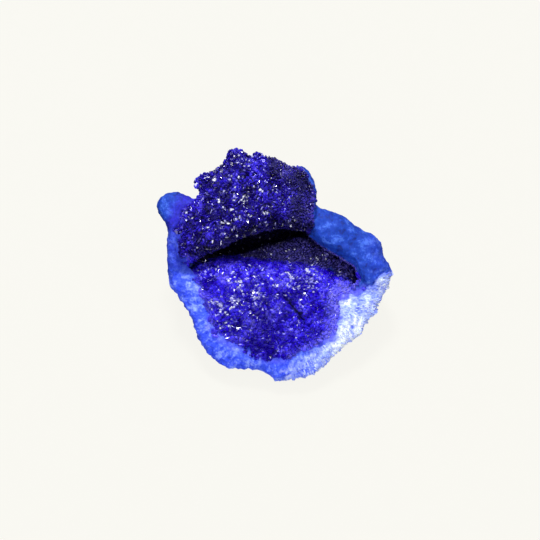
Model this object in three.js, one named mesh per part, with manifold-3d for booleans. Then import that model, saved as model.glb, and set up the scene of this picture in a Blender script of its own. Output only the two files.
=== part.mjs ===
// An azurite specimen: a rounded nodule about 50 mm across, broken open on one side. Two crystal-covered
// lobes fill the break, an upper one that overhangs and a lower one that bulges towards the viewer. A deep
// crevice runs between them, with a shelf low down in it. A smooth shoulder of crust runs down the right
// side, and a small rounded knob stands out at the left. Everything grew together, so it is one solid.
//
// The lobes are modelled lying on the broken face: x to the right, y up the face and z out of it, with the
// middle of the face at the origin. The whole is then leaned forward and cut flat where it rests.
//
// Units are millimetres. The result has +Z up, with its origin at the middle of its resting footprint.

import * as THREE from "three";
import { ImprovedNoise } from "three/addons/math/ImprovedNoise.js";
import { mergeVertices } from "three/addons/utils/BufferGeometryUtils.js";
import Module from "manifold-3d";

// Driving dimensions.
const LEAN_DEG = 30; // how far the broken face leans forward from level
const FACE_HEIGHT = 18; // from the resting face up to the middle of the broken face
const CUT_BOX = 200; // side of the block that cuts the resting face
const VALLEY_ROUNDING = 0.06; // how softly the valleys between the lumps are rounded
const VALLEY_STEEPNESS = 3; // how fast a valley rises to its dome: more makes valleys narrower
const LUMP_FADE = 2; // how fast the lumps grow away from the rim, where there are none
const CURVE_SAMPLES = 8; // points taken along an outline's curve for each point listed
const MERGE_GAP = 1e-4; // corners closer than this are one corner

// Each lobe is a pillow. Its outline, seen straight onto the broken face, is a smooth closed curve through
// the points listed, and its middle is the point from which the outline's reach is measured.
//   rim      height of the widest section over the face; rimSlope is its rise per mm to the right and up
//   front    how far the pillow bulges out of the face above its rim, and back how far it goes in below it
//   fullness 2 is a plain dome, and more is flatter on top with steeper sides
//   frontLumps, backLumps and lumpSize are the height and width of the rounded lumps on its surface
//   detail   how finely its surface is divided

// The rounded mass. Its outline is the edge of the broken face.
const NODULE = {
  middle: [0, -1],
  outline: [
    [-22.9, 2.4], [-22.7, 6], [-21.6, 10], [-19.4, 12.8], [-16.6, 14.2], [-15.4, 16.4], [-15.4, 18.6],
    [-12.8, 19.6], [-10.2, 22.4], [-8.4, 24], [-5.4, 22.8], [-3.2, 23.4], [0.6, 21.6], [3.6, 20],
    [6, 19.8], [7.6, 17.6], [8.1, 14.6], [9, 12.8], [10.2, 12.1], [12.4, 11.3], [14.8, 10.3],
    [16.8, 8.7], [19.4, 7.2], [22.3, 5.4], [23, 3], [24.3, 0.3], [25, -1.3], [24.1, -4.5],
    [22.3, -7.8], [21.2, -10.6], [19.1, -12.4], [18.5, -14.6], [15.3, -16.8], [12, -19.6],
    [10.1, -21.8], [6, -24], [2.6, -24.3], [0, -24.8], [-1.7, -22.9], [-5, -22.1], [-9.4, -22],
    [-13.9, -19.5], [-16.5, -15.4], [-18.2, -10.6], [-20.8, -6.6], [-22.6, -3.8],
  ],
  rim: -3.5,
  rimSlope: [0, 0],
  front: 5.2,
  back: 20,
  fullness: 3,
  frontLumps: 0.3,
  backLumps: 2,
  lumpSize: 9,
  detail: 13,
};

// The smooth crust down the right side.
const SHOULDER = {
  middle: [16.5, 4],
  outline: [
    [7.2, 6.9], [6.6, 9], [8, 12], [10.2, 12.1], [12.4, 11.3], [14.8, 10.3], [16.8, 8.7], [19.4, 7.2],
    [21.2, 6.5], [22.6, 5], [23, 3], [23.2, 1.6], [24.3, 0.3], [25, -1.3], [24.4, -3.4], [22.8, -5.2],
    [20, -5.6], [18.3, -4.4], [17.8, -2], [17, 0.3], [15, 1.5], [11.8, 3.2], [8.9, 5.3],
  ],
  rim: -1.6,
  rimSlope: [-0.2, 0.05],
  front: 4.6,
  back: 8,
  fullness: 5,
  frontLumps: 0.3,
  backLumps: 0.4,
  lumpSize: 9,
  detail: 7,
};

// The strip of crust down the left side, with the knob at its top.
const STRIP = {
  middle: [-20.6, 8.5],
  outline: [
    [-17.2, 13.9], [-19.3, 15], [-20.9, 15.6], [-23.1, 15.3], [-24.6, 14.2], [-25, 12.6], [-24.5, 10.9],
    [-23.5, 9.4], [-22.7, 7.4], [-22.9, 4.8], [-22.9, 2.4], [-22.6, -1.2], [-20.8, -2.4], [-17.5, 1.5],
    [-16.4, 8],
  ],
  rim: -0.6,
  rimSlope: [0, 0.08],
  front: 2.2,
  back: 6,
  fullness: 3,
  frontLumps: 0.2,
  backLumps: 0.2,
  lumpSize: 6,
  detail: 6,
};

// The hollow in the broken face, which the shelf and the lobes then fill, all but the crevice. Its sides
// lean in towards the face, so that the crust overhangs it a little.
const POCKET = {
  middle: [0, 2],
  outline: [
    [6.6, 9.2], [7.2, 6.8], [8.9, 5.3], [11.8, 3.2], [15, 1.5], [17, 0.3], [17.8, -2], [18.2, -4.2],
    [14, -6], [5, -6], [-6, -5], [-14, -3.5], [-18.4, -0.6], [-19, 3], [-17, 8], [-8, 12], [2, 12],
  ],
  rim: -3,
  rimSlope: [0, 0],
  front: 11,
  back: 7,
  fullness: 3.5,
  frontLumps: 0,
  backLumps: 0.4,
  lumpSize: 5,
  detail: 7,
};

// The low shelf in the crevice.
const SHELF = {
  middle: [2, -3],
  outline: [
    [-17, -0.4], [-12.7, 1.6], [-8.4, 2], [-5, 2.9], [-1.8, 4.2], [1.4, 5], [4, 5.8], [6.4, 5.7],
    [8.4, 4.5], [11.2, 2.8], [13.8, 1], [15.8, 0.1], [16.8, -1.4], [17.3, -4.6], [15, -9], [5, -12],
    [-6, -12], [-14, -8],
  ],
  rim: -4.6,
  rimSlope: [0, 0],
  front: 3.2,
  back: 12,
  fullness: 4,
  frontLumps: 0.3,
  backLumps: 0,
  lumpSize: 6,
  detail: 7,
};

// The lower lobe bulges towards the viewer. Its top edge is the ridge in front of the shelf.
const LOWER_LOBE = {
  middle: [0, -9],
  outline: [
    [-18.4, -0.8], [-15.4, 0.6], [-11.6, 1.5], [-8.4, 1.7], [-5.2, 1.6], [-2, 1], [1.4, 0.8],
    [5.4, 0.5], [8, 0.1], [11.8, -1], [14.8, -2.6], [17, -4.2], [17.9, -6], [16.8, -8.6],
    [15.2, -12], [13.4, -15.6], [10, -18.2], [6, -20], [2, -21.4], [-2, -21.4], [-6, -20],
    [-10, -18.2], [-13.4, -15.8], [-15.2, -12.4], [-16.4, -8.6], [-17.8, -5], [-19, -2.4],
  ],
  rim: -4.5,
  rimSlope: [0, 0.1],
  front: 7,
  back: 12,
  fullness: 4,
  frontLumps: 0.25,
  backLumps: 0,
  lumpSize: 8,
  detail: 11,
};

// The upper lobe overhangs the crevice.
const UPPER_LOBE = {
  middle: [-5.5, 14.5],
  outline: [
    [-20.4, 1], [-21, 4.4], [-21, 7.6], [-20.4, 10.7], [-19, 12.8], [-17.2, 13.9], [-16, 15.4],
    [-17.3, 17.8], [-15.4, 19.5], [-13.1, 20.1], [-10.8, 22.2], [-10, 24.3], [-8.5, 25], [-7, 24.5],
    [-5.4, 23.5], [-3.4, 24.4], [-2, 23.5], [0.8, 22.2], [3.6, 20.7], [5.8, 20.9], [7.4, 19.4],
    [8.4, 17], [8.7, 14.2], [8.6, 11.5], [8.2, 9.3], [6.9, 7.8], [4.6, 7.5], [1.4, 7.6], [-2, 6.9],
    [-5.2, 6.1], [-8.4, 4.7], [-11.6, 3.2], [-14.8, 1.9], [-18, 0.7],
  ],
  rim: 2,
  rimSlope: [0.1, -0.05],
  front: 5.8,
  back: 13,
  fullness: 2.6,
  frontLumps: 0.5,
  backLumps: 0.6,
  lumpSize: 6,
  detail: 12,
};

const noise = new ImprovedNoise();

// How deep a point lies between the rounded lumps: about 0 on a dome, and towards 1 in a valley.
function valley(point, size) {
  const { x, y, z } = point.clone().divideScalar(size);
  const ripple = noise.noise(x, y, z);
  return THREE.MathUtils.clamp(1 - VALLEY_STEEPNESS * Math.hypot(ripple, VALLEY_ROUNDING), 0, 1);
}

// How far a closed outline lies from its middle in any direction.
function reachOf(middle, outline) {
  const corners = outline.map(([x, y]) => new THREE.Vector3(x - middle[0], y - middle[1], 0));
  const curve = new THREE.CatmullRomCurve3(corners, true, "centripetal");
  const samples = curve
    .getPoints(outline.length * CURVE_SAMPLES)
    .map((p) => ({ angle: Math.atan2(p.y, p.x), reach: Math.hypot(p.x, p.y) }))
    .sort((a, b) => a.angle - b.angle);
  return (angle) => {
    const found = samples.findIndex((sample) => sample.angle > angle);
    const next = samples[found < 0 ? 0 : found];
    const last = samples.at(found < 0 ? -1 : found - 1);
    const gap = THREE.MathUtils.euclideanModulo(next.angle - last.angle, 2 * Math.PI);
    const step = THREE.MathUtils.euclideanModulo(angle - last.angle, 2 * Math.PI);
    return THREE.MathUtils.lerp(last.reach, next.reach, gap > 0 ? Math.min(step / gap, 1) : 0);
  };
}

// A sphere pressed into a lobe's outline. The valleys between its lumps are pushed in towards its heart, and
// fade out at the rim, so that the outline stays as listed.
function lobeGeometry(lobe) {
  const { middle, outline, rim, rimSlope, front, back, fullness, detail } = lobe;
  const sphere = new THREE.IcosahedronGeometry(1, detail);
  sphere.deleteAttribute("normal");
  sphere.deleteAttribute("uv");
  const geometry = mergeVertices(sphere, MERGE_GAP);
  const reach = reachOf(middle, outline);
  const position = geometry.getAttribute("position");
  const heart = new THREE.Vector3(middle[0], middle[1], rim - back / 2);
  const onSphere = new THREE.Vector3();
  const point = new THREE.Vector3();
  for (let i = 0; i < position.count; i++) {
    onSphere.fromBufferAttribute(position, i);
    const angle = Math.atan2(onSphere.y, onSphere.x);
    const outwards = Math.min(Math.hypot(onSphere.x, onSphere.y), 1);
    const radius = reach(angle) * outwards;
    const rise = Math.sqrt(1 - outwards ** fullness);
    const side = onSphere.z > 0 ? front : -back;
    point.set(middle[0] + radius * Math.cos(angle), middle[1] + radius * Math.sin(angle), 0);
    const level = rim + rimSlope[0] * (point.x - middle[0]) + rimSlope[1] * (point.y - middle[1]);
    point.z = level + side * rise;
    const lumps = onSphere.z > 0 ? lobe.frontLumps : lobe.backLumps;
    const depth = lumps * valley(point, lobe.lumpSize) * Math.min(LUMP_FADE * Math.abs(onSphere.z), 1);
    point.sub(heart);
    point.setLength(point.length() - depth).add(heart);
    position.setXYZ(i, point.x, point.y, point.z);
  }
  return geometry;
}

const wasm = await Module();
wasm.setup();

function solidOf(geometry) {
  return new wasm.Manifold(
    new wasm.Mesh({
      numProp: 3,
      vertProperties: geometry.getAttribute("position").array,
      triVerts: new Uint32Array(geometry.index.array),
    }),
  );
}

function geometryOf(solid) {
  const mesh = solid.getMesh();
  const geometry = new THREE.BufferGeometry();
  geometry.setAttribute("position", new THREE.BufferAttribute(mesh.vertProperties, 3));
  geometry.setIndex(new THREE.BufferAttribute(mesh.triVerts, 1));
  return geometry;
}

// The block below the resting face, as it lies under the leaned specimen.
function blockUnder() {
  const block = new THREE.BoxGeometry(CUT_BOX, CUT_BOX, CUT_BOX);
  block.deleteAttribute("normal");
  block.deleteAttribute("uv");
  return mergeVertices(block.translate(0, 0, -CUT_BOX / 2));
}

// From the face's frame to the specimen's own.
function leaned(geometry) {
  return geometry.rotateX(THREE.MathUtils.degToRad(LEAN_DEG)).translate(0, 0, FACE_HEIGHT);
}

// The crust is hollowed first, and the inner lobes then grow into it.
function specimenGeometry() {
  const solidLobe = (lobe) => solidOf(leaned(lobeGeometry(lobe)));
  const shell = solidLobe(NODULE).add(solidLobe(SHOULDER)).add(solidLobe(STRIP)).subtract(solidLobe(POCKET));
  const whole = shell.add(solidLobe(SHELF)).add(solidLobe(LOWER_LOBE)).add(solidLobe(UPPER_LOBE));
  const geometry = geometryOf(whole.subtract(solidOf(blockUnder())));
  geometry.computeBoundingBox();
  const { min, max } = geometry.boundingBox;
  return geometry.translate(-(min.x + max.x) / 2, -(min.y + max.y) / 2, -min.z);
}

const specimen = new THREE.Mesh(
  specimenGeometry(),
  new THREE.MeshStandardMaterial({ color: 0x2a2496, roughness: 0.45, metalness: 0 }),
);
specimen.geometry.computeVertexNormals();
specimen.name = "azurite_specimen";

const group = new THREE.Group();
group.add(specimen);

export default group;
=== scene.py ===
"""An azurite specimen: a rounded blue nodule, broken open on two lobes covered in sparkling crystals.

The rock is one grown-together mass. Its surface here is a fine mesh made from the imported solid. The small
crystals that cover the lobes, and the short fibres on the palest crust, are faceted meshes set into it.

Lengths in this file are in millimetres, and become metres where meshes and objects are made. Places on
the broken face are given on its own axes: x to the right, y up the face and z out of it.
"""

import math

import bpy
import numpy as np
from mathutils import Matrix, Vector, noise
from mathutils.kdtree import KDTree


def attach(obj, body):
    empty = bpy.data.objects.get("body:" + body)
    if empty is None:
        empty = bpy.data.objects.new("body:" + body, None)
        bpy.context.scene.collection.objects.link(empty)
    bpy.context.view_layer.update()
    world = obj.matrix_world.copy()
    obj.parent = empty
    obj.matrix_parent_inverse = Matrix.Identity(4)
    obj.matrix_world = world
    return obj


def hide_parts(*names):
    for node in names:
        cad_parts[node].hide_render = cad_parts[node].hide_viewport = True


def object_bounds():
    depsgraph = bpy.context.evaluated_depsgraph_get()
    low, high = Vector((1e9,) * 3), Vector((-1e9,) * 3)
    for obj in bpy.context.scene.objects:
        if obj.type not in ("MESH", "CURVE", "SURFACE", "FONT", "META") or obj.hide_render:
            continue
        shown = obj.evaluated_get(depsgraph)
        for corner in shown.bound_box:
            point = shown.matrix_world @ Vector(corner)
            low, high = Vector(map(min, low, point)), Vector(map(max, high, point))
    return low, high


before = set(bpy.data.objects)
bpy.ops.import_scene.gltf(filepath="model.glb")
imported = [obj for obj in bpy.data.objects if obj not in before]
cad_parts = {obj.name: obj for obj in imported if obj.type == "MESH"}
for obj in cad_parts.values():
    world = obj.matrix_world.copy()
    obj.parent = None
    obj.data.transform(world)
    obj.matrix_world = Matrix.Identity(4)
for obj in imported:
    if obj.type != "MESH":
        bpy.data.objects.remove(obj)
cad_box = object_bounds()

NODE = "azurite_specimen"
MM = 0.001
SEED = 71
RNG = np.random.default_rng(SEED)

# How the broken face lies in the frame.
LEAN = math.radians(30)
FACE_MIDDLE = np.array([0.0, -2.7, 18.0])

# The rock's surface.
FINE_STEP = 0.31  # length of the sides of its faces
RELAX_ROUNDS = 16
CLUSTER_SPACING = 1.6  # rounded clusters that the crystals grow on
CLUSTER_HEIGHT = 0.5
SHELF_CLUSTER_HEIGHT = 0.2
UPPER_INSET = 1.35  # how far the rock lies below the solid where crystals will fill it out
LOWER_INSET = 0.6
SHELF_INSET = 0.35
BUMP_SPACING = 2.4  # knobbly bumps on the outer crust
BUMP_HEIGHT = 0.45
GRAIN_HEIGHT = 0.22
RIB_HEIGHT = 0.16  # faint ribs that run outwards on the light crust
RIB_WIDTH = 0.9
CRACK_DEPTH = 1.0

# The crystals and fibres.
DRUSE_SPACING = 0.36
FIBRE_SPACING = 0.55
CRYSTAL_VARIETY = 0.33  # how much the crystals' widths vary
WIDEST_CRYSTAL = 1.6  # beside the usual width
# The pale crystals are painted glints.
WIDEST_PAINTED_GLINT = 0.52  # the pale crystals that stand for glints are kept small
CLEAR_OF_FLOOR = 0.05

# Regions of the broken face, by their outlines seen straight on.
UPPER_DRUSE = [
    (-20.4, 1), (-21, 4.4), (-21, 7.6), (-20.4, 10.7), (-19, 12.8), (-17.2, 13.9), (-16, 15.4),
    (-17.3, 17.8), (-15.4, 19.5), (-13.1, 20.1), (-10.8, 22.2), (-10, 24.3), (-8.5, 25.4), (-7, 25),
    (-5.4, 24.5), (-3.4, 25), (-2, 24.3), (0.8, 22.6), (3.6, 20.7), (5.6, 20.4), (6.9, 18.8),
    (7.9, 16.4), (8.3, 14.2), (8.2, 11.5), (8.1, 8.6), (6.9, 6.5), (4.6, 6.3), (1.4, 6.4), (-2, 5.8),
    (-8.4, 3.8), (-14.8, 0.8),
]
DULL_PART = [
    (-1, 23.5), (4, 22), (9, 20), (9.6, 13), (8.6, 8), (3, 7.5), (2, 11), (4.4, 15), (1.5, 17.5), (-1, 20),
]
SHELF = [
    (-19, 0.8), (-15, 0.8), (-11.6, 1.8), (-8.4, 2), (-5.2, 1.8), (-2, 1.2), (1.4, 1), (5.4, 0.7),
    (7.6, 0.5), (11.8, -0.7), (15, -2.4), (17.8, -3.9), (18.6, -2), (17.4, 0.2), (15, 1.6), (11.8, 3.3),
    (8.8, 5.6), (7.1, 7), (6, 12), (-14, 9), (-20, 3),
]
LOWER_DRUSE = [
    (-18.4, 1), (-18, -0.1), (-16.3, -2), (-15.4, -5.2), (-14.4, -7.3), (-13.5, -9.5), (-13.3, -12.7),
    (-11.8, -14.8), (-8.4, -16.5), (-5.2, -18.4), (-1.4, -19.7), (1.8, -19.5), (5.4, -17.6),
    (9.3, -16.3), (11.8, -14.8), (12.9, -11.2), (12.4, -7.3), (15, -5.6), (18.6, -4.6), (17.9, -2),
    (5, 2), (-10, 3),
]
CREVICE = [
    (-17.6, -0.1), (-12.7, 1.8), (-8.4, 2), (-5, 2.9), (-1.8, 4.4), (1.4, 5), (3.9, 5.9), (6.5, 5.9),
    (8.8, 5), (11.4, 3.5), (13.9, 1.6), (16.1, 0.7), (17.3, -0.1), (18.6, 0.4), (15, 4), (9, 8), (6, 13),
    (-14, 10), (-20, 3),
]
PALE_CRUST = [
    (12.8, -5.4), (15.5, -4.6), (18.4, -4.9), (21.5, -4), (22.8, -1.8), (26, -0.8), (27, -6), (22, -16),
    (12, -24), (5, -27), (2, -24), (5, -19.6), (10, -16.6), (12.6, -13), (12, -9),
]
LIGHT_CRUST = [
    (-25, -1.2), (-19.5, -0.7), (-16.4, -1.5), (-14.8, -5), (-13.3, -8.6), (-12.3, -12.7), (-10.1, -15),
    (-6.5, -16.7), (-1.6, -18.7), (3.7, -18.7), (11.5, -15.7), (16, -26), (-14, -28), (-26, -12),
]

# Middles of spots on the broken face.
WHITE_SPOTS = [(13.8, -16.2), (15.4, -15.2), (17, -13.8)]
LIGHT_SPOTS = [(15, -7), (23.3, -4.3), (20.5, -9), (-17.2, -4.2), (-13.8, -12.4), (-5, -21.3), (1.5, -23)]
# The middle of painted shade on the lower lobe, where it darkens towards its lower middle.
PAINTED_SHADE_HOLLOW = [(-3, -12)]
# Where the painted glints gather on the upper and lower crystals.
UPPER_PAINTED_GLINTS = [
    (-6.9, 22.5), (-8.3, 17.6), (-5.4, 14.9), (1.5, 12.4), (-7.8, 9.3), (-4.4, 9.8), (3, 8.5), (-1, 11),
]
LOWER_PAINTED_GLINTS = [
    (-7.8, -4.1), (-4.1, -6.1), (-12.2, -8.4), (-10.3, -12.9), (7.3, -2), (3, -3), (-8.5, -7),
]

# The line of the crack, and the place that the ribs and fibres run out from.
CRACK = [(1.2, -5.3), (2.5, -7.2), (3.9, -8.7), (5.2, -10.3), (6.3, -12.3)]
FIBRE_HEART = (0.0, -5.0)


def to_face(points):
    """World millimetres to the face's own axes."""
    rel = points - FACE_MIDDLE
    c, s = math.cos(LEAN), math.sin(LEAN)
    return np.column_stack([rel[:, 0], rel[:, 1] * c + rel[:, 2] * s, rel[:, 2] * c - rel[:, 1] * s])


def from_face(vector):
    """A direction on the face's axes, in the world."""
    c, s = math.cos(LEAN), math.sin(LEAN)
    u, v, t = vector
    return np.array([u, v * c - t * s, v * s + t * c])


def edge_distance(points, outline, closed=True):
    """How far each point lies from the nearest side of an outline, in the plane of the face."""
    ends = np.array(outline, float)
    starts = ends if closed else ends[:-1]
    ends = np.roll(ends, -1, axis=0) if closed else ends[1:]
    best = np.full(len(points), np.inf)
    for a, b in zip(starts, ends):
        side = b - a
        along = np.clip(((points - a) @ side) / (side @ side), 0, 1)
        best = np.minimum(best, np.linalg.norm(points - a - along[:, None] * side, axis=1))
    return best


def inside(points, outline):
    """Positive inside an outline and negative outside it, by the distance to its nearest side."""
    starts = np.array(outline, float)
    ends = np.roll(starts, -1, axis=0)
    within = np.zeros(len(points), bool)
    for a, b in zip(starts, ends):
        if a[1] == b[1]:
            continue
        crosses = (a[1] > points[:, 1]) != (b[1] > points[:, 1])
        within ^= crosses & (points[:, 0] < (b[0] - a[0]) * (points[:, 1] - a[1]) / (b[1] - a[1]) + a[0])
    return np.where(within, 1, -1) * edge_distance(points, outline)


def smoothstep(none, full, value):
    """0 where value is at none or past it, 1 where it is at full or past it, and smooth in between."""
    x = np.clip((value - none) / (full - none), 0, 1)
    return x * x * (3 - 2 * x)


def near_spots(points, spots, radius):
    """1 at the middle of each spot, fading to 0 at the radius."""
    best = np.full(len(points), np.inf)
    for spot in spots:
        best = np.minimum(best, np.linalg.norm(points - np.array(spot), axis=1))
    return smoothstep(radius, 0, best)


def noise_at(points, size, seed, octaves=2):
    """Smooth noise from about -1 to 1, with features about the given size across."""
    shift = Vector((seed * 13.7, seed * 7.3, seed * 3.1))
    return np.array([noise.fractal(Vector(p) / size + shift, 1.0, 2.0, octaves) for p in points.tolist()])


# --- the rock's surface ---------------------------------------------------------------------------------


def fine_copy(node, step):
    """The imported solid's surface as an even mesh: corner positions in millimetres, and the faces."""
    copy = bpy.data.objects.new("fine_copy", node.data.copy())
    bpy.context.scene.collection.objects.link(copy)
    remesh = copy.modifiers.new("remesh", "REMESH")
    remesh.mode = "VOXEL"
    remesh.voxel_size = step * MM
    evaluated = copy.evaluated_get(bpy.context.evaluated_depsgraph_get())
    mesh = bpy.data.meshes.new_from_object(evaluated)
    co = np.empty(len(mesh.vertices) * 3)
    mesh.vertices.foreach_get("co", co)
    faces = np.empty(len(mesh.polygons) * 4, np.int64)
    mesh.polygons.foreach_get("vertices", faces)
    bpy.data.objects.remove(copy)
    bpy.data.meshes.remove(mesh)
    return co.reshape(-1, 3) / MM, faces.reshape(-1, 4)


def edges_of(faces):
    pairs = np.concatenate([faces[:, [0, 1]], faces[:, [1, 2]], faces[:, [2, 3]], faces[:, [3, 0]]])
    return np.unique(np.sort(pairs, axis=1), axis=0)


def relax(points, edges, rounds, inwards=0.5, outwards=0.515):
    """Smooths without shrinking, by turns in and out."""
    count = np.bincount(edges.ravel(), minlength=len(points)).astype(float)
    for step in (inwards, -outwards) * rounds:
        total = np.zeros_like(points)
        for axis in range(3):
            for here, there in ((0, 1), (1, 0)):
                total[:, axis] += np.bincount(edges[:, here], points[edges[:, there], axis], len(points))
        points = points + step * (total / count[:, None] - points)
    return points


def normals_of(points, faces):
    across = points[faces[:, 2]] - points[faces[:, 0]]
    along = points[faces[:, 3]] - points[faces[:, 1]]
    face_normal = np.cross(across, along)
    total = np.zeros_like(points)
    for corner in range(4):
        for axis in range(3):
            total[:, axis] += np.bincount(faces[:, corner], face_normal[:, axis], len(points))
    return total / np.maximum(np.linalg.norm(total, axis=1, keepdims=True), 1e-12)


rock, rock_faces = fine_copy(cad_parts[NODE], FINE_STEP)
resting = rock[:, 2] < 0.5 * FINE_STEP
rock = relax(rock, edges_of(rock_faces), RELAX_ROUNDS)
normal = normals_of(rock, rock_faces)
normal_up_face = normal[:, 1] * math.cos(LEAN) + normal[:, 2] * math.sin(LEAN)
face = to_face(rock)
flat = face[:, :2]
face_x, face_y, depth = face.T

# How far each point belongs to each region, from 0 to 1. The numbers given to smoothstep are millimetres on
# the face's axes, or past an outline. The noise makes the borders ragged.
ragged = noise_at(rock, 2.2, seed=1, octaves=3)
blotch = noise_at(rock, 4.0, seed=9, octaves=3)
in_upper = inside(flat, UPPER_DRUSE)
in_lower = inside(flat, LOWER_DRUSE)
in_pale = inside(flat, PALE_CRUST)
in_light = inside(flat, LIGHT_CRUST)
on_front = smoothstep(-9, -4, depth)
leftward = smoothstep(-12, -16, face_x)
beside_knob = leftward * smoothstep(13.5, 11.5, face_y)

# The crystal-covered regions. The upper one goes on over its lobe's back in patches.
on_upper = smoothstep(-0.3, 0.3, in_upper + (0.3 + 0.9 * beside_knob) * ragged - 0.4 * beside_knob)
on_upper *= smoothstep(-4.5, -3, depth + ragged + 4 * blotch)
on_shelf = smoothstep(-0.2, 0.3, inside(flat, SHELF) + 0.3 * ragged) * smoothstep(0.6, -0.2, depth)
on_shelf *= smoothstep(-12, -9, depth) * (1 - on_upper)
on_lower = smoothstep(-0.4, 0.4, in_lower + 1.5 * ragged) * smoothstep(-14, -12, depth)
on_lower *= (1 - on_shelf) * (1 - on_upper)
druse = np.clip(on_upper + on_shelf + on_lower, 0, 1)
bare = 1 - druse
dull = smoothstep(-1, 1, inside(flat, DULL_PART) + ragged) * on_upper

# The crust's colours: whitish at the lower right, light blue round the left and below, a little lighter at
# the right rim and the left strip, and violet where it meets the crystals.
beside_druse = smoothstep(1.7, 0.1, 0.9 * ragged - in_lower)
pale_side = smoothstep(-1.8, 1.4, in_pale + 1.2 * ragged)
pale = pale_side * smoothstep(-12, -5, depth + 3 * blotch) * (1 - beside_druse)
pale *= 0.6 + 0.4 * smoothstep(4, 11, face_x)
light = smoothstep(-1, 1.6, in_light + 1.2 * ragged) * smoothstep(-13, -6, depth + 4 * blotch)
violet = np.maximum(pale_side, 0.5 * light) * beside_druse * on_front
right_rim = smoothstep(18, 22, face_x) * smoothstep(9, 6, face_y) * on_front
left_strip = smoothstep(-16, -20, face_x) * smoothstep(9, 5, face_y) * on_front
light = np.maximum(light, np.maximum(0.25 * right_rim, 0.35 * left_strip))
white = np.maximum(near_spots(flat, WHITE_SPOTS, 4), 0.45 * near_spots(flat, LIGHT_SPOTS, 2.8))
white *= smoothstep(-0.8, 0.1, noise_at(rock, 1.4, seed=11)) * on_front
rind = smoothstep(3.4, 0.4, 0.8 * ragged - in_upper) * leftward * smoothstep(-4, -1, depth)
rind *= 0.5 + 0.5 * smoothstep(5, 9, face_y)

# The crystals near the crust are paler.
fading = smoothstep(-2.6, 0.5, in_pale + 0.8 * ragged)
left_fading = 0.4 * smoothstep(-0.7, 1.8, in_light + 0.8 * ragged) * smoothstep(-5, -9, face_x)
fading = np.maximum(fading, left_fading) * on_lower

# Painted shade: the inside of the crevice and the lower side of the upper lobe are painted black, where shade
# falls.
painted_underside_shade = smoothstep(0.35, 0.85, -normal_up_face) * on_upper * smoothstep(11, 8, face_y)
painted_crevice_shade = smoothstep(-0.2, 0.9, inside(flat, CREVICE)) * smoothstep(1, -0.5, depth) * (1 - on_upper)
painted_crevice_shade *= 1 - smoothstep(9, 16, face_x) - 0.6 * smoothstep(-12, -17, face_x)
painted_crevice_shade = np.maximum(painted_crevice_shade, painted_underside_shade) * smoothstep(-14, -11, depth)


def scatter(points, weight, spacing, tries):
    """The numbers of points at least the spacing apart, picked at random by their weights."""
    odds = np.clip(weight, 0, None)
    picks = RNG.choice(len(points), size=tries, replace=True, p=odds / odds.sum())
    cells = {}
    kept = []
    for i in picks.tolist():
        p = points[i]
        key = tuple(np.floor(p / spacing).astype(int).tolist())
        near = (
            q
            for a in (-1, 0, 1)
            for b in (-1, 0, 1)
            for c in (-1, 0, 1)
            for q in cells.get((key[0] + a, key[1] + b, key[2] + c), ())
        )
        if all(((p - points[q]) ** 2).sum() >= spacing * spacing for q in near):
            cells.setdefault(key, []).append(i)
            kept.append(i)
    return np.array(kept)


def nearest(points, seeds):
    """Each point's nearest seed, and its distances to the nearest and the second nearest."""
    tree = KDTree(len(seeds))
    for i, seed in enumerate(seeds.tolist()):
        tree.insert(seed, i)
    tree.balance()
    found = [tree.find_n(p, 2) for p in points.tolist()]
    which = np.array([f[0][1] for f in found])
    first = np.array([f[0][2] for f in found])
    second = np.array([f[1][2] for f in found])
    return which, first, second


# Rounded clusters under the crystals, and knobbly bumps on the outer crust.
cluster_ids = scatter(rock, druse > 0.5, CLUSTER_SPACING, tries=12000)
bump_ids = scatter(rock, bare > 0.5, BUMP_SPACING, tries=12000)
cluster_at = rock[cluster_ids] - 0.5 * normal[cluster_ids]
cluster_turn = RNG.normal(size=(len(cluster_ids), 3))
cluster_tone = RNG.uniform(size=len(cluster_ids))
cluster_of, first, second = nearest(rock, cluster_at)
dome = np.sqrt(np.clip(1 - (first / (1.05 * CLUSTER_SPACING)) ** 2, 0, 1))
seam = smoothstep(0, 0.5, second - first)
bump_of, first, second = nearest(rock, rock[bump_ids] - 0.8 * normal[bump_ids])
bump_rise = 0.4 + 0.6 * RNG.uniform(size=len(bump_ids))
knobbly = smoothstep(0, 1.6, second - first) * smoothstep(0.1, -0.5, depth) * bump_rise[bump_of]

# The crack, and the way that ribs and fibres run: outwards over the crust.
crack = 1 - smoothstep(0.15, 1.1, edge_distance(flat, CRACK, closed=False) + 0.3 * ragged)
crack *= (depth > -6) * on_lower * smoothstep(-4, -8.5, face_y)
from_heart = flat - np.array(FIBRE_HEART)
turn_round = np.arctan2(from_heart[:, 0], -from_heart[:, 1]) * 18
fibre = np.column_stack([turn_round, np.linalg.norm(from_heart, axis=1) / 4, depth / 3])

# Everything that raises or lowers the surface, which fades out above the resting face.
swell = noise_at(rock, 5.0, seed=3)
grain = noise_at(rock, 1.1, seed=5, octaves=3)
ribs = noise_at(fibre, RIB_WIDTH, seed=7)
lift = (on_upper + on_lower) * (CLUSTER_HEIGHT * dome * (0.6 + 0.4 * seam) + 0.25 * swell)
lift -= UPPER_INSET * on_upper * (1 - 0.4 * dull) + LOWER_INSET * on_lower
lift += on_shelf * (SHELF_CLUSTER_HEIGHT * dome - SHELF_INSET)
lift -= CRACK_DEPTH * crack
grainy = GRAIN_HEIGHT * grain * (0.9 + 0.3 * pale + 0.4 * light)
lift += bare * (0.15 * swell + grainy + RIB_HEIGHT * ribs * light - 0.05)
lift += bare * BUMP_HEIGHT * (knobbly - 0.5) * smoothstep(-2, -5, depth)
lift *= smoothstep(0.3, 1.2, rock[:, 2])
rock = rock + normal * lift[:, None]
rock[:, 2] = np.maximum(rock[:, 2], 0)
rock[resting, 2] = 0
normal = normals_of(rock, rock_faces)


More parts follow.
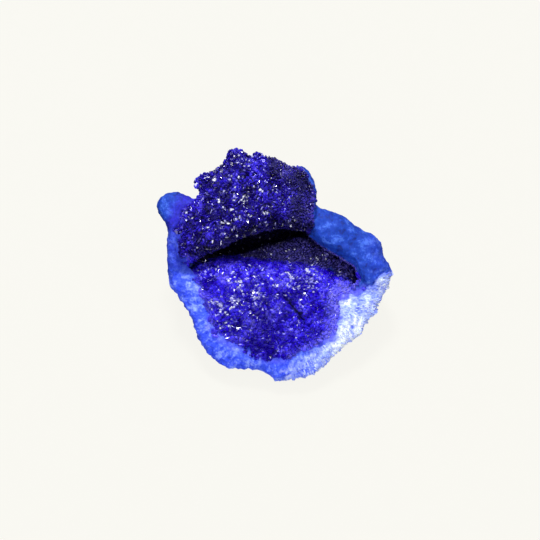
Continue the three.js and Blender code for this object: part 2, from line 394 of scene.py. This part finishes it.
def new_piece(name, points, faces, material, smooth=False, **values):
    """A mesh of the specimen. values are what its material reads: a number or vector for each corner."""
    mesh = bpy.data.meshes.new(name)
    mesh.from_pydata((points * MM).tolist(), [], faces)
    for label, numbers in values.items():
        numbers = np.asarray(numbers, np.float32)
        kind, key = ("FLOAT", "value") if numbers.ndim == 1 else ("FLOAT_VECTOR", "vector")
        mesh.attributes.new(label, kind, "POINT").data.foreach_set(key, numbers.ravel())
    mesh.materials.append(material)
    mesh.shade_smooth() if smooth else mesh.shade_flat()
    piece = bpy.data.objects.new(name, mesh)
    bpy.context.scene.collection.objects.link(piece)
    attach(piece, "root")
    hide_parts(NODE)
    return piece


# --- materials ------------------------------------------------------------------------------------------


class Nodes:
    """A short way to write a material's nodes. Sizes of patterns are in millimetres.

    Wherever a socket is asked for, a number or a colour does as well.
    """

    def __init__(self, name):
        self.material = bpy.data.materials.new(name)
        self.material.use_nodes = True
        self.tree = self.material.node_tree
        self.shader = self.tree.nodes["Principled BSDF"]
        place = self.tree.nodes.new("ShaderNodeTexCoord")
        scaled = self.tree.nodes.new("ShaderNodeVectorMath")
        scaled.operation = "SCALE"
        scaled.inputs["Scale"].default_value = 1 / MM
        self.tree.links.new(place.outputs["Object"], scaled.inputs[0])
        self.place = scaled.outputs[0]

    def link(self, out, into):
        """Sets the socket into from another socket, a number or a colour."""
        if isinstance(out, (int, float)):
            into.default_value = out
        elif isinstance(out, tuple):
            into.default_value = (*out, 1.0)
        else:
            self.tree.links.new(out, into)

    def math(self, operation, a, b=0.0, clamp=False):
        node = self.tree.nodes.new("ShaderNodeMath")
        node.operation = operation
        node.use_clamp = clamp
        self.link(a, node.inputs[0])
        self.link(b, node.inputs[1])
        return node.outputs[0]

    def sum(self, *terms):
        """Adds socket and weight pairs, and plain numbers."""
        total = 0.0
        for term in terms:
            if isinstance(term, tuple):
                term = self.math("MULTIPLY", *term)
            total = self.math("ADD", term, total)
        return total

    def value(self, name, output="Fac"):
        """A value given to new_piece."""
        node = self.tree.nodes.new("ShaderNodeAttribute")
        node.attribute_name = name
        return node.outputs[output]

    def noise(self, size, detail, roughness, offset, place=None):
        """Smooth noise about 0.5. Each offset gives a different pattern."""
        node = self.tree.nodes.new("ShaderNodeTexNoise")
        node.noise_dimensions = "4D"
        self.link(place or self.place, node.inputs["Vector"])
        node.inputs["W"].default_value = offset
        node.inputs["Scale"].default_value = 1 / size
        node.inputs["Detail"].default_value = detail
        node.inputs["Roughness"].default_value = roughness
        return node.outputs["Fac"]

    def ramp(self, factor, *stops):
        """A colour by the factor. Each stop is the factor's value and then red, green and blue."""
        node = self.tree.nodes.new("ShaderNodeValToRGB")
        self.link(factor, node.inputs["Fac"])
        ramp = node.color_ramp
        while len(ramp.elements) < len(stops):
            ramp.elements.new(0.5)
        for element, (at, *colour) in zip(ramp.elements, stops):
            element.position = at
            element.color = (*colour, 1.0)
        return node.outputs["Color"]

    def fit(self, factor, low, high, to_low=0.0, to_high=1.0):
        """Stretches low to high over to_low to to_high, and holds it at their ends."""
        node = self.tree.nodes.new("ShaderNodeMapRange")
        self.link(factor, node.inputs["Value"])
        for socket, amount in zip(("From Min", "From Max", "To Min", "To Max"), (low, high, to_low, to_high)):
            node.inputs[socket].default_value = amount
        return node.outputs["Result"]

    def mix(self, factor, a, b):
        node = self.tree.nodes.new("ShaderNodeMix")
        node.data_type = "RGBA"
        self.link(factor, node.inputs[0])
        self.link(a, node.inputs[6])
        self.link(b, node.inputs[7])
        return node.outputs[2]

    def bump(self, height, strength, distance, normal=None):
        node = self.tree.nodes.new("ShaderNodeBump")
        node.inputs["Strength"].default_value = strength
        node.inputs["Distance"].default_value = distance * MM
        self.link(height, node.inputs["Height"])
        if normal is not None:
            self.link(normal, node.inputs["Normal"])
        return node.outputs["Normal"]

    def finish(self, colour, roughness, normal, **sockets):
        """Joins up the shader. sockets are uniform values, set on the shader itself."""
        self.link(colour, self.shader.inputs["Base Color"])
        self.link(roughness, self.shader.inputs["Roughness"])
        self.link(normal, self.shader.inputs["Normal"])
        for name, amount in sockets.items():
            self.shader.inputs[name].default_value = amount
        return self.material


CHALKY = {"IOR": 1.5, "Subsurface Weight": 0.35, "Subsurface Scale": 0.5 * MM, "Specular IOR Level": 0.25}
CHALKY_RADIUS = (0.4, 0.4, 1.0)
CRYSTAL_RADIUS = (0.8, 0.8, 1.0)
AZURITE_IOR = 1.75

# Black for painted shade in the crevice, beneath the upper lobe and along the crack.
PAINTED_SHADE_BLACK = (0.004, 0.003, 0.020)
CRUST_PAINTED_SHADE_BLACK = (0.002, 0.002, 0.010)
BETWEEN_CRYSTALS = (0.005, 0.003, 0.070)
PALE_VIOLET = (0.140, 0.130, 0.950)


def crystal_material(name, milky, reach, shine):
    """milky is how much light goes into the crystals and comes out again, and reach how far it goes."""
    n = Nodes(name)
    patches = n.noise(2.6, detail=3, roughness=0.6, offset=1)
    fleck = n.noise(0.5, detail=2, roughness=0.6, offset=2)
    striae = n.noise(0.12, detail=2, roughness=0.5, offset=4)
    worn = n.noise(0.8, detail=2, roughness=0.5, offset=6)
    level = n.sum(
        (n.value("tone"), 0.5),
        n.fit(patches, 0.36, 0.64, -0.22, 0.44),
        n.fit(fleck, 0.3, 0.7, -0.08, 0.10),
    )
    dark = n.ramp(
        level,
        (0.0, 0.003, 0.001, 0.055),
        (0.3, 0.009, 0.004, 0.190),
        (0.6, 0.024, 0.013, 0.430),
        (1.0, 0.100, 0.075, 0.880),
    )
    bright = n.ramp(
        level,
        (0.0, 0.005, 0.001, 0.220),
        (0.3, 0.010, 0.002, 0.380),
        (0.6, 0.032, 0.016, 0.720),
        (1.0, 0.160, 0.135, 1.000),
    )
    # Painted shadow: this colour darkens the shelf, which lies in the upper lobe's shadow; the dull part
    # takes a little of it as its own greyer tone.
    plum = n.ramp(
        level,
        (0.0, 0.013, 0.010, 0.065),
        (0.5, 0.042, 0.033, 0.240),
        (1.0, 0.110, 0.090, 0.550),
    )
    # Painted glints: some crystals are coloured pale lavender to white.
    spark = n.value("spark")
    pale = n.ramp(spark, (0.2, 0.180, 0.160, 0.850), (0.8, 0.660, 0.680, 1.000))
    colour = n.mix(n.value("bright"), dark, bright)
    colour = n.mix(n.math("MULTIPLY", n.value("light"), 0.8), colour, PALE_VIOLET)
    colour = n.mix(n.value("plum"), colour, plum)
    # Painted shade: crystals go black in the crevice, beneath the upper lobe and in the crack, and darker in
    # the lower lobe's hollow; the dull part's darker tone is its own.
    colour = n.mix(n.math("MULTIPLY", n.value("deep"), 0.8, clamp=True), colour, PAINTED_SHADE_BLACK)
    colour = n.mix(spark, colour, pale)
    dullness = n.math("SUBTRACT", 1.0, n.value("gloss"))
    rough = n.sum((dullness, 0.42), n.fit(worn, 0.3, 0.7, 0.08, 0.2))
    n.shader.inputs["Subsurface Radius"].default_value = CRYSTAL_RADIUS
    glow = {"Subsurface Weight": milky, "Subsurface Scale": reach * MM, "Specular IOR Level": shine}
    return n.finish(colour, rough, n.bump(striae, strength=0.25, distance=0.02), IOR=AZURITE_IOR, **glow)


def crust_material():
    n = Nodes("azurite_crust")
    mottle = n.noise(2.0, detail=4, roughness=0.65, offset=1)
    fleck = n.noise(0.5, detail=3, roughness=0.65, offset=2)
    streak = n.noise(RIB_WIDTH, detail=3, roughness=0.6, offset=3, place=n.value("fibre", "Vector"))
    fine = n.noise(0.18, detail=3, roughness=0.6, offset=4)
    cloud = n.noise(1.5, detail=2, roughness=0.5, offset=5)
    blotches = n.noise(2.2, detail=3, roughness=0.6, offset=7)
    gaps = n.fit(n.noise(1.8, detail=3, roughness=0.6, offset=8), 0.38, 0.54, 0.22, 0.90)
    white = n.value("white")
    blue = n.ramp(
        n.sum((mottle, 0.5), (fleck, 0.3), (cloud, 0.2)),
        (0.40, 0.002, 0.010, 0.130),
        (0.47, 0.004, 0.030, 0.290),
        (0.53, 0.007, 0.042, 0.360),
        (0.60, 0.040, 0.110, 0.540),
    )
    light_blue = n.ramp(
        n.sum((mottle, 0.35), (fleck, 0.30), (streak, 0.35)),
        (0.39, 0.016, 0.042, 0.600),
        (0.50, 0.045, 0.092, 0.840),
        (0.61, 0.240, 0.340, 0.950),
    )
    whitish = n.ramp(
        n.sum((cloud, 0.50), (fleck, 0.15), (streak, 0.35), (white, 0.42)),
        (0.38, 0.150, 0.210, 0.900),
        (0.46, 0.340, 0.440, 0.960),
        (0.56, 0.530, 0.620, 0.980),
        (0.66, 0.800, 0.860, 1.000),
    )
    deep_violet = n.ramp(fleck, (0.35, 0.008, 0.004, 0.240), (0.65, 0.026, 0.014, 0.520))
    violet = n.ramp(mottle, (0.35, 0.050, 0.040, 0.720), (0.65, 0.160, 0.160, 0.950))
    colour = n.mix(n.value("light"), blue, light_blue)
    colour = n.mix(n.math("MULTIPLY", n.value("rind"), 0.8), colour, deep_violet)
    colour = n.mix(n.value("violet"), colour, violet)
    # The whitish crust, with a blotchy border and light blue gaps.
    border = n.fit(n.sum((blotches, 1.4), (n.value("pale"), 1.15), -0.85), 0.12, 0.80)
    amount = n.math("MULTIPLY", border, n.sum(gaps, (white, 0.35)), clamp=True)
    colour = n.mix(n.math("MULTIPLY", border, 1.8, clamp=True), colour, light_blue)
    colour = n.mix(amount, colour, whitish)
    # What shows between the crystals, and painted shade: black in the crevice, beneath the upper lobe and
    # along the crack.
    colour = n.mix(n.value("druse"), colour, n.mix(n.value("fading"), BETWEEN_CRYSTALS, violet))
    colour = n.mix(n.math("MULTIPLY", n.value("deep"), 0.95), colour, CRUST_PAINTED_SHADE_BLACK)
    rough = n.fit(fleck, 0.3, 0.7, 0.62, 0.86)
    coarse_bump = n.bump(fleck, strength=0.6, distance=0.2)
    n.shader.inputs["Subsurface Radius"].default_value = CHALKY_RADIUS
    return n.finish(colour, rough, n.bump(fine, strength=0.5, distance=0.06, normal=coarse_bump), **CHALKY)


def fibre_material():
    n = Nodes("azurite_fibre")
    fleck = n.noise(0.35, detail=3, roughness=0.65, offset=2)
    fine = n.noise(0.15, detail=3, roughness=0.6, offset=4)
    level = n.sum((n.value("tone"), 0.8), n.fit(fleck, 0.3, 0.7, -0.1, 0.3))
    whitish = n.ramp(
        level,
        (0.0, 0.110, 0.160, 0.880),
        (0.4, 0.280, 0.360, 0.940),
        (0.8, 0.480, 0.560, 0.960),
        (1.0, 0.800, 0.850, 0.980),
    )
    blue = n.ramp(
        level,
        (0.0, 0.020, 0.035, 0.500),
        (0.5, 0.070, 0.110, 0.850),
        (1.0, 0.260, 0.330, 0.940),
    )
    colour = n.mix(n.value("pale"), blue, whitish)
    rough = n.fit(fleck, 0.3, 0.7, 0.6, 0.85)
    n.shader.inputs["Subsurface Radius"].default_value = CHALKY_RADIUS
    return n.finish(colour, rough, n.bump(fine, strength=0.5, distance=0.05), **CHALKY)


new_piece(
    "azurite_crust",
    rock,
    rock_faces.tolist(),
    crust_material(),
    smooth=True,
    pale=np.maximum(pale, 0.75 * white),
    white=white,
    light=light,
    violet=violet,
    rind=rind,
    druse=druse,
    fading=np.maximum(fading, 0.3 * on_lower),
    # Painted shade on the crust: black in the crevice, beneath the upper lobe and along the crack.
    deep=np.maximum(painted_crevice_shade, 0.9 * crack),
    fibre=fibre,
)


# --- crystals and fibres --------------------------------------------------------------------------------


def prism(sides, flatness, taper, shoulder, slant):
    """A closed crystal one unit long and about one across: straight sides that end in a wedge.

    taper is its width at the shoulder, where the wedge begins, beside its width at the foot.
    """
    angles = [2 * math.pi * (k + 0.5) / sides for k in range(sides)]
    foot = [(0.5 * math.cos(a), 0.5 * flatness * math.sin(a), -0.45) for a in angles]
    top = [
        (taper * x, taper * y, shoulder + slant * x * (1 if k % 2 else 0.8))
        for k, (x, y, _) in enumerate(foot)
    ]
    ridge = [(-0.2 * taper, 0.0, 1.0 - 0.6 * slant), (0.22 * taper, 0.02, 1.0 + 0.3 * slant)]
    left, right = 2 * sides, 2 * sides + 1
    ends = [left if math.cos(a) < 0 else right for a in angles]
    faces = [tuple(reversed(range(sides)))]
    faces += [(k, (k + 1) % sides, sides + (k + 1) % sides, sides + k) for k in range(sides)]
    for k in range(sides):
        after = (k + 1) % sides
        tip = (ends[k],) if ends[k] == ends[after] else (ends[after], ends[k])
        faces.append((sides + k, sides + after, *tip))
    return np.array(foot + top + ridge), faces


PRISMS = [
    prism(6, flatness=0.75, taper=0.92, shoulder=0.76, slant=0.10),
    prism(4, flatness=0.85, taper=0.90, shoulder=0.84, slant=-0.14),
    prism(6, flatness=0.50, taper=0.96, shoulder=0.80, slant=0.16),
    prism(4, flatness=0.60, taper=0.86, shoulder=0.72, slant=0.08),
]


def rows_normalised(vectors):
    return vectors / np.linalg.norm(vectors, axis=1, keepdims=True)


def grown_piece(name, ids, size_of, aim, across, material, **values):
    """Many small prisms set into the surface at the points numbered in ids, joined as one piece.

    aim is the way that each one stands, and across is square to its width. size_of gives its width,
    thickness and length. values are numbers for the material, one for each prism.
    """
    all_points, all_faces, counts = [], [], []
    start = 0
    for i, axis, side in zip(ids.tolist(), rows_normalised(aim), across):
        points, faces = PRISMS[RNG.integers(len(PRISMS))]
        side = np.cross(axis, side)
        side /= np.linalg.norm(side)
        turn = np.stack([side, np.cross(axis, side), axis])
        all_points.append((points * size_of(i)) @ turn + rock[i])
        all_faces += [tuple(start + k for k in f) for f in faces]
        counts.append(len(points))
        start += len(points)
    points = np.concatenate(all_points)
    points[:, 2] = np.maximum(points[:, 2], CLEAR_OF_FLOOR)
    values = {label: np.repeat(numbers, counts) for label, numbers in values.items()}
    return new_piece(name, points, all_faces, material, **values)


sharp_crystal = crystal_material("azurite_crystal", milky=0.7, reach=0.8, shine=0.38)
milky_crystal = crystal_material("azurite_milky_crystal", milky=0.9, reach=0.7, shine=0.25)

# The crystals' looks, by place: the painted shadow on the shelf is paler at its right end, painted shade
# darkens the crevice, the crack and the lower lobe's hollow, the dull part has a darker tone, and some places
# are less shiny.
paler_shelf_shadow_end = 0.42 * on_shelf * smoothstep(6, 13, face_x)
crystal_painted_shade_and_dull = 0.6 * near_spots(flat, PAINTED_SHADE_HOLLOW, 10) * on_lower + 0.5 * dull + painted_crevice_shade + 1.1 * crack
shininess = 1 - 0.4 * dull - 0.5 * on_shelf - 0.5 * fading

# The odds that a crystal is a pale one, a painted glint, and how pale it is.
sparkling = 0.03 * on_shelf + on_upper * (0.04 + 0.15 * near_spots(flat, UPPER_PAINTED_GLINTS, 4.5)) * (1 - dull)
lower_sparkling = 0.03 + 0.60 * near_spots(flat, LOWER_PAINTED_GLINTS, 3.6)
sparkling += on_lower * lower_sparkling * (1 - 0.7 * near_spots(flat, PAINTED_SHADE_HOLLOW, 7))
is_spark = RNG.uniform(size=len(rock)) < sparkling
spark = is_spark * (RNG.uniform(0.15, 0.9, len(rock)) + 0.15 * on_upper)
spark = np.where(is_spark & (on_shelf > 0), 0.95, spark)


def druse_piece(name, ids, material, width, length, fan):
    """Crystals on a lobe. fan is how far they lean out from the middles of their clusters.

    Each cluster's crystals are turned much the same way.
    """
    cluster = cluster_of[ids]
    out_of_cluster = rows_normalised(rock[ids] - (cluster_at[cluster] - 0.6 * normal[ids]))
    aim = normal[ids] + fan * out_of_cluster + 0.22 * RNG.normal(size=(len(ids), 3))
    across = cluster_turn[cluster] + 0.5 * RNG.normal(size=(len(ids), 3))

    def size_of(i):
        wide = width * min(math.exp(CRYSTAL_VARIETY * RNG.normal()), WIDEST_CRYSTAL) * (1 - 0.25 * dull[i])
        if spark[i] > 0:
            wide = min(wide, WIDEST_PAINTED_GLINT + 0.14 * on_lower[i] - 0.1 * on_shelf[i])
        tall = length * wide / width * RNG.uniform(0.8, 1.2)
        return np.array([wide * RNG.uniform(0.9, 1.4), wide, tall])

    tone = 0.48 * cluster_tone[cluster] + 0.48 * RNG.uniform(size=len(ids)) + paler_shelf_shadow_end[ids]
    is_mirror = RNG.uniform(size=len(ids)) < 0.08
    gloss = np.clip(shininess[ids] * RNG.uniform(0.3, 1.1, len(ids)), 0, 1)
    return grown_piece(
        name,
        ids,
        size_of,
        aim,
        across,
        material,
        tone=tone,
        gloss=np.where(is_mirror, 1.0, gloss),
        # Painted shade, with the dull part's own darker tone.
        deep=np.clip(crystal_painted_shade_and_dull[ids], 0, 1),
        light=fading[ids],
        # The shelf's painted shadow, with a little of it on the dull part as its own tone.
        plum=np.clip(on_shelf[ids] + 0.25 * dull[ids], 0, 1),
        bright=on_lower[ids],
        spark=spark[ids],
    )


spots = scatter(rock, np.maximum(druse - 0.35, 0) * (crack < 0.6), DRUSE_SPACING, tries=160000)
region = np.argmax(np.stack([on_upper, on_lower, on_shelf]), axis=0)[spots]
druse_piece("upper_druse", spots[region == 0], sharp_crystal, width=0.58, length=0.60, fan=0.7)
druse_piece("lower_druse", spots[region == 1], milky_crystal, width=0.84, length=0.34, fan=0.3)
druse_piece("shelf_druse", spots[region == 2], sharp_crystal, width=0.44, length=0.34, fan=0.4)


def fibre_size(_):
    wide = 0.52 * math.exp(0.3 * RNG.normal())
    return np.array([0.5 * wide, wide, 0.55 * RNG.uniform(0.7, 1.4)])


def grow_fibres():
    """Short fibres that lie along the palest crust and point outwards over the rim."""
    odds = bare * smoothstep(-5, -2, depth) * smoothstep(0.4, 0.9, pale) * (in_lower < -0.3)
    chosen = RNG.uniform(size=len(rock)) < 0.5 * odds
    ids = scatter(rock, chosen, FIBRE_SPACING, tries=16000)
    outward = rock[ids] - FACE_MIDDLE - from_face((*FIBRE_HEART, 0))
    outward -= (outward * normal[ids]).sum(axis=1, keepdims=True) * normal[ids]
    tone = 0.50 + 0.55 * noise_at(rock[ids], 2.0, seed=13) + 0.10 * RNG.normal(size=len(ids))
    aim = rows_normalised(outward) + 0.02 * normal[ids] + 0.18 * RNG.normal(size=(len(ids), 3))
    grown_piece(
        "crust_fibres",
        ids,
        fibre_size,
        aim,
        normal[ids],
        fibre_material(),
        tone=np.clip(tone + 0.35 * white[ids], 0, 1.1),
        pale=pale[ids],
    )


grow_fibres()


# --- floor, light and camera ----------------------------------------------------------------------------

PAPER = (0.956, 0.947, 0.896)
PAPER_GLOW = 0.93
WORLD_GLOW = 0.26
SWEEP_RADIUS = 2.5  # metres
FLAT_SHARE = 0.4  # how much of the radius is flat floor
FLOOR_RINGS = 4
DOME_RINGS = 24
TURNS = 64


def paper_material():
    n = Nodes("studio_paper")
    tooth = n.noise(3.0, detail=3, roughness=0.5, offset=1)
    colour = n.ramp(tooth, (0.0, 0.028, 0.028, 0.026), (1.0, 0.032, 0.032, 0.030))
    n.shader.inputs["Emission Color"].default_value = (*PAPER, 1.0)
    glow = {"Emission Strength": PAPER_GLOW, "Specular IOR Level": 0.0}
    return n.finish(colour, 1.0, n.bump(tooth, strength=0.02, distance=0.05), **glow)


def sweep():
    """A round paper floor that curves up into a dome, so that every view has the same plain background."""
    profile = [(FLAT_SHARE * k / FLOOR_RINGS, 0.0) for k in range(1, FLOOR_RINGS + 1)]
    for k in range(1, DOME_RINGS + 1):
        angle = math.pi * k / (DOME_RINGS + 1)
        rising = angle < math.pi / 2
        wide = FLAT_SHARE + (1 - FLAT_SHARE) * math.sin(angle) if rising else math.sin(angle)
        profile.append((wide, 0.5 * (1 - math.cos(angle))))
    circle = [(math.cos(2 * math.pi * k / TURNS), math.sin(2 * math.pi * k / TURNS)) for k in range(TURNS)]
    points = [(0, 0, 0)]
    for wide, height in profile:
        radius = SWEEP_RADIUS * wide
        points += [(radius * x, radius * y, SWEEP_RADIUS * height) for x, y in circle]
    faces = [(0, 1 + k, 1 + (k + 1) % TURNS) for k in range(TURNS)]
    for ring in range(len(profile) - 1):
        low, high = 1 + ring * TURNS, 1 + (ring + 1) * TURNS
        faces += [(low + k, high + k, high + (k + 1) % TURNS, low + (k + 1) % TURNS) for k in range(TURNS)]
    return points, faces


def stage_piece(name, points, faces, material):
    """A piece of the studio, in metres. It is seen, and lights nothing and shades nothing."""
    mesh = bpy.data.meshes.new(name)
    mesh.from_pydata(points, [], faces)
    mesh.materials.append(material)
    piece = bpy.data.objects.new(name, mesh)
    bpy.context.scene.collection.objects.link(piece)
    piece.visible_diffuse = False
    piece.visible_glossy = False
    piece.visible_shadow = False


stage_piece("paper_sweep", *sweep(), paper_material())

scene = bpy.context.scene
scene.view_settings.view_transform = "Standard"
world = bpy.data.worlds.new("studio")
scene.world = world
world.use_nodes = True
background = world.node_tree.nodes["Background"]
background.inputs["Color"].default_value = (*PAPER, 1.0)
background.inputs["Strength"].default_value = WORLD_GLOW
world.cycles_visibility.glossy = False


LAMPS_AIM = (0, 0, 0.016)  # metres


def lamp(name, toward, power, size, distance, glossy):
    """A square lamp in the given direction on the face's axes, aimed at the specimen.

    size and distance are in metres, and power in watts. One that isn't glossy makes no glints.
    """
    light_data = bpy.data.lights.new(name, "AREA")
    light_data.size = size
    light_data.energy = power
    lamp_object = bpy.data.objects.new(name, light_data)
    direction = Vector(from_face(toward)).normalized()
    lamp_object.location = Vector(LAMPS_AIM) + direction * distance
    lamp_object.rotation_mode = "QUATERNION"
    lamp_object.rotation_quaternion = (-direction).to_track_quat("-Z", "Y")
    lamp_object.visible_glossy = glossy
    scene.collection.objects.link(lamp_object)


SOFT = {"size": 0.8, "distance": 1.0, "glossy": False}
GLINT = {"size": 0.12, "distance": 0.8, "glossy": True}
lamp("key", (-0.1, 1.25, 1.0), power=8.5, size=0.16, distance=0.8, glossy=True)
lamp("fill", (-0.1, -0.8, 1.0), power=6.5, **SOFT)
lamp("rear", (0.3, 1.0, -0.25), power=2.5, **SOFT)
lamp("glint_left", (-0.9, 0.25, 1.0), power=0.9, **GLINT)
lamp("glint_right", (0.9, 0.4, 1.0), power=0.9, **GLINT)
lamp("glint_low", (0.15, -0.7, 1.0), power=0.8, **GLINT)
lamp("glint_high", (0.1, 0.5, 1.0), power=0.9, **GLINT)

# The camera looks straight at the broken face through a long lens.
SENSOR = 36.0
LENS = 100.0
FRAME_WIDTH = 114.9  # what the picture spans at the middle of the specimen
AIM = np.array([-1.06, -2.77, 0.0])  # from the middle of the solid's box, on the face's axes
camera = bpy.data.cameras.new("camera")
camera.sensor_width = SENSOR
camera.lens = LENS
camera.clip_start = 0.01
camera_object = bpy.data.objects.new("camera", camera)
scene.collection.objects.link(camera_object)
back = Vector(from_face((0, 0, 1)))
middle = (np.array(cad_box[0]) + np.array(cad_box[1])) / 2
aim_point = Vector(middle + from_face(AIM) * MM)
camera_object.location = aim_point + back * (FRAME_WIDTH * MM * LENS / SENSOR)
camera_object.rotation_mode = "QUATERNION"
camera_object.rotation_quaternion = (-back).to_track_quat("-Z", "Y")
scene.camera = camera_object
